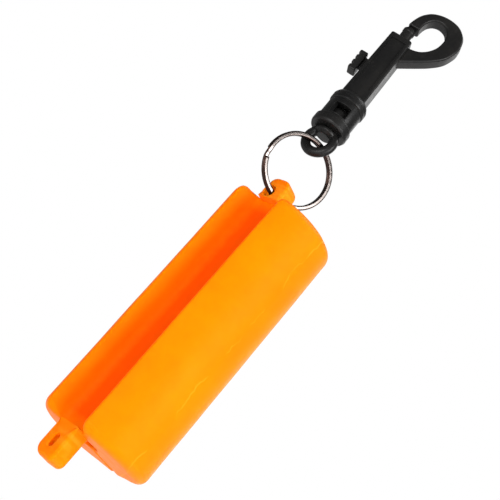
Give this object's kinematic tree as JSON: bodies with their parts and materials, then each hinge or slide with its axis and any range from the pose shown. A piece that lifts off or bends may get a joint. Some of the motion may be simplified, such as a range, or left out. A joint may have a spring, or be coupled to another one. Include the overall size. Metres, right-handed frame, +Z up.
{
  "type": "arrow puller",
  "caption": "Rubber arrow-pulling grip with two lobes and an open groove, hung by a slotted tab on a split ring and a swivel bolt snap.",
  "frame": {"origin": "highest point of the hook's throat, on the middle of the hook's thickness, where the hook hangs on a loop or peg", "axes": "+Z up along the grip, -Y the front that shows the hook's face, +X towards the side of the hook away from the gate"},
  "size_m": [0.042, 0.0406, 0.2135],
  "materials": {
    "grip_rubber": "soft matt moulded silicone rubber, bright orange",
    "ring_steel": "nickel-plated spring steel, polished",
    "snap_plastic": "satin black moulded plastic",
    "spring_steel": "drawn spring wire"
  },
  "bodies": {
    "snap": {"snap_body": "snap_plastic"},
    "gate": {"gate_bolt": "snap_plastic", "gate_spring": "spring_steel"},
    "swivel": {"swivel_eye": "snap_plastic"},
    "ring": {"split_ring": "ring_steel"},
    "grip": {"grip_spine": "grip_rubber"},
    "lobe_left": {"grip_lobe_left": "grip_rubber"},
    "lobe_right": {"grip_lobe_right": "grip_rubber"}
  },
  "joints": [
    {"name": "gate_slide", "type": "slide", "parent": "snap", "child": "gate", "axis": [0.0314, 0, -0.9995], "range_m": [0, 0.007], "stiffness_N_per_m": 250, "springref_m": -0.008, "deforming": ["gate_spring"]},
    {"name": "swivel_turn", "type": "hinge", "parent": "snap", "child": "swivel", "pos_m": [-0.00568, 0.00191, -0.06331], "axis": [-0.0314, 0, 0.9995], "continuous": true},
    {"name": "ring_swing", "type": "hinge", "parent": "swivel", "child": "ring", "pos_m": [-0.00549, 0.00198, -0.06901], "axis": [0.9455, 0.3256, 0], "range_deg": [-22, 22]},
    {"name": "grip_swing", "type": "hinge", "parent": "ring", "child": "grip", "pos_m": [-0.0036, 0.00263, -0.09501], "axis": [0.9455, 0.3256, 0], "range_deg": [-15, 15]},
    {"name": "lobe_left_flex", "type": "hinge", "parent": "grip", "child": "lobe_left", "pos_m": [-0.00668, 0.00683, -0.14741], "axis": [0, 0, 1], "range_deg": [-1.5, 12], "stiffness_Nm_per_rad": 0.8},
    {"name": "lobe_right_flex", "type": "hinge", "parent": "grip", "child": "lobe_right", "pos_m": [0.00061, -0.00045, -0.14741], "axis": [0, 0, -1], "range_deg": [-1.5, 12], "stiffness_Nm_per_rad": 0.8}
  ]
}
